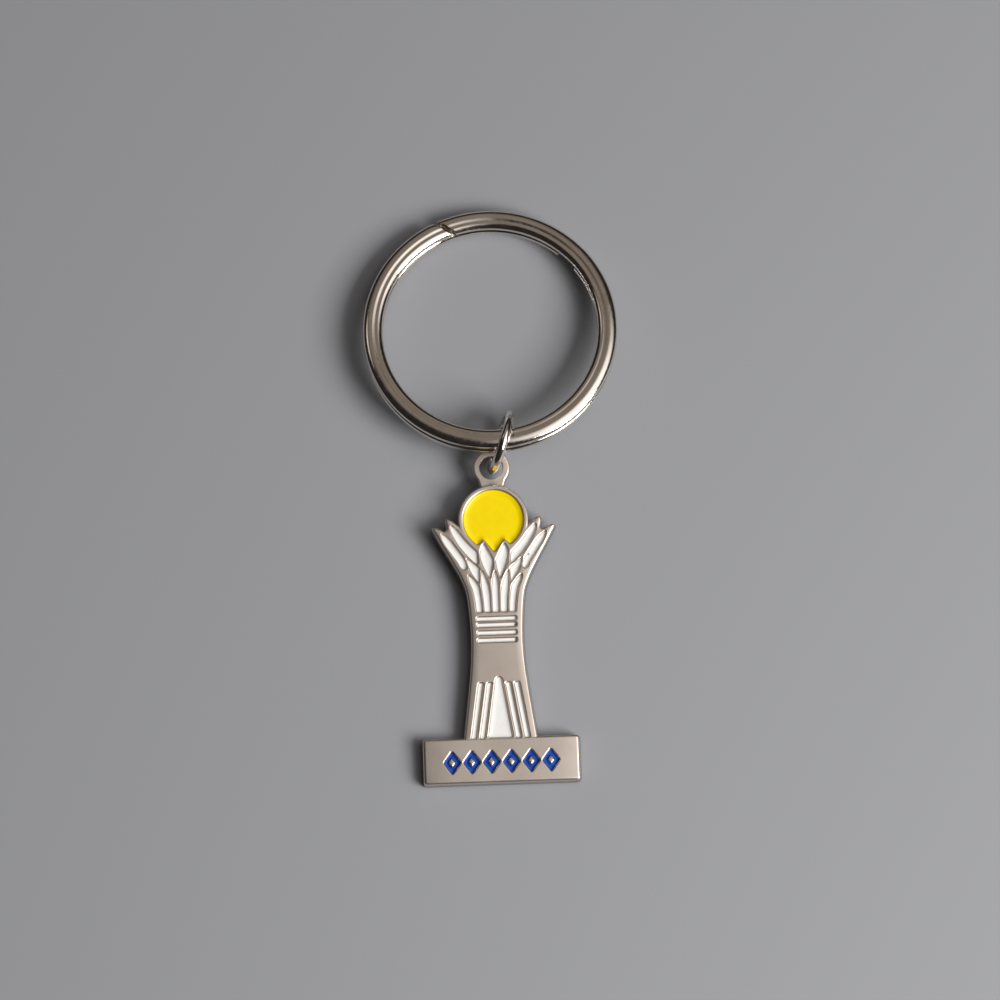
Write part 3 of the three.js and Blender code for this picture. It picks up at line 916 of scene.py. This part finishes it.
finishes = {
    "satin_nickel": satin_nickel(),
    "polished_nickel": polished_nickel(),
    "white_enamel": enamel("white_enamel", (0.86, 0.85, 0.835), (0.82, 0.81, 0.80), 0.14, 0.5,
                           WHITE_SPECKS),
    "yellow_enamel": enamel("yellow_enamel", (0.92, 0.70, 0.001), (0.9, 0.66, 0.001), 0.12, 0.22),
    "blue_enamel": enamel("blue_enamel", (0.003, 0.06, 0.40), (0.003, 0.035, 0.26), 0.14, 0.4),
}


def fitted(piece, body, slot, *nodes):
    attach(piece, body)
    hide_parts(*nodes)


cells = enamel_cells()
verts, faces = casting_mesh(cells)
casting = mesh_object("casting_relief", verts, faces, pendant_frame, finishes["satin_nickel"])
shade_attributes(casting, cells, pendant_frame)
fitted(casting, "pendant", "satin_nickel", "pendant_casting")

for node_name, slot_name, loops in cells:
    verts, faces = enamel_mesh(loops, DISC_MENISCUS if node_name == "enamel_disc" else MENISCUS)
    piece_name = node_name.replace("enamel_", "") + "_fill"
    fill = mesh_object(piece_name, verts, faces, pendant_frame, finishes[slot_name])
    fitted(fill, "pendant", slot_name, node_name)

split_ring = joined("split_ring_wire", split_ring_layers(), split_frame, finishes["polished_nickel"])
fitted(split_ring, "key_ring", "polished_nickel", "split_ring")

wire_start = math.radians(JUMP_SLIT_AT_DEGREES + JUMP_SLIT_DEGREES / 2)
wire_end = wire_start + math.radians(360 - JUMP_SLIT_DEGREES)
jump_angles, jump_shrink = end_stations(wire_start, wire_end, math.radians(2.5), JUMP_END_ROUND,
                                        JUMP_RADIUS)
wire = section_points(JUMP_WIRE_RADIUS, JUMP_WIRE_RADIUS, 2, 32)
verts, faces = swept_ring(JUMP_RADIUS, wire, jump_angles, jump_shrink)
# The wire is swept round Z, and this stands it up to go round X.
upright = Matrix(((0, 0, 1, 0), (1, 0, 0, 0), (0, 1, 0, 0), (0, 0, 0, 1)))
jump_ring = mesh_object("jump_ring_wire", verts, faces, jump_frame @ upright,
                        finishes["polished_nickel"])
fitted(jump_ring, "jump_link", "polished_nickel", "jump_ring")

# -------------------------------------------------------- floor, light, camera

floor_mesh = bpy.data.meshes.new("floor")
floor_corners = [(x * FLOOR_REACH, y * FLOOR_REACH, 0) for x, y in ((-1, -1), (1, -1), (1, 1), (-1, 1))]
floor_mesh.from_pydata(floor_corners, [], [(0, 1, 2, 3)])
floor = bpy.data.objects.new("floor", floor_mesh)
bpy.context.scene.collection.objects.link(floor)
floor_finish, floor_shader = material("pale_board", (0.30, 0.308, 0.333), 0.55)
floor_mesh.materials.append(floor_finish)


def soft_box(name, azimuth, elevation, distance, size, power, color=(1, 1, 1)):
    """A square softbox that faces the keychain. Azimuth 0 is toward +X, 90 toward +Y."""
    a, e = math.radians(azimuth), math.radians(elevation)
    away = Vector((math.cos(a) * math.cos(e), math.sin(a) * math.cos(e), math.sin(e)))
    data = bpy.data.lights.new(name, "AREA")
    data.shape = "SQUARE"
    data.size = size
    data.energy = power
    data.color = color
    lamp = bpy.data.objects.new(name, data)
    lamp.location = away * distance
    lamp.rotation_mode = "QUATERNION"
    lamp.rotation_quaternion = away.to_track_quat("Z", "Y")
    bpy.context.scene.collection.objects.link(lamp)


soft_box("key_light", -30, 42, 0.65, 0.34, 5.1, (1, 0.985, 0.955))

# The room: the direction each pale patch is centred on, the angles between which it
# fades out, and its colour.
ROOM_PATCHES = [
    (Vector((0.5, 0.02, 1)), 4, 32, (1.42, 1.38, 1.36)),
    (Vector((-0.05, 0.75, 1)), 8, 34, (0.2, 0.172, 0.145)),
    (Vector((-0.75, 0.5, 0.9)), 2, 9, (0.8, 0.74, 0.66)),
]
ROOM_COLOR = (0.02, 0.018, 0.017)


def soft_room():
    """A dim room with a few soft pale patches overhead."""
    world = bpy.data.worlds.new("room")
    world.use_nodes = True
    bpy.context.scene.world = world
    nodes, links = world.node_tree.nodes, world.node_tree.links
    place = nodes.new("ShaderNodeTexCoord")
    color = None
    for direction, full_within, gone_past, patch_color in ROOM_PATCHES:
        toward = nodes.new("ShaderNodeVectorMath")
        toward.operation = "DOT_PRODUCT"
        toward.inputs[1].default_value = direction.normalized()
        links.new(place.outputs["Generated"], toward.inputs[0])
        falloff = nodes.new("ShaderNodeMapRange")
        falloff.interpolation_type = "SMOOTHSTEP"
        falloff.inputs["From Min"].default_value = math.cos(math.radians(gone_past))
        falloff.inputs["From Max"].default_value = math.cos(math.radians(full_within))
        links.new(toward.outputs["Value"], falloff.inputs["Value"])
        mix = nodes.new("ShaderNodeMix")
        mix.data_type = "RGBA"
        mix.blend_type = "ADD"
        links.new(falloff.outputs["Result"], mix.inputs[0])
        if color is None:
            mix.inputs[6].default_value = (*ROOM_COLOR, 1)
        else:
            links.new(color, mix.inputs[6])
        mix.inputs[7].default_value = (*patch_color, 1)
        color = mix.outputs[2]
    links.new(color, nodes["Background"].inputs["Color"])


soft_room()

camera_data = bpy.data.cameras.new("camera")
camera_data.lens = CAMERA_LENS
camera_data.clip_start = 0.05
camera_data.clip_end = 10
camera = bpy.data.objects.new("camera", camera_data)
camera.rotation_euler = (math.radians(CAMERA_TILT_DEGREES), 0, math.radians(CAMERA_TURN_DEGREES))
looks_at = Vector((0.00047, -0.00037, 0))
camera.location = looks_at + camera.rotation_euler.to_matrix() @ Vector((0, 0, CAMERA_DISTANCE))
bpy.context.scene.collection.objects.link(camera)
bpy.context.scene.camera = camera

bpy.context.scene.view_settings.view_transform = "Standard"
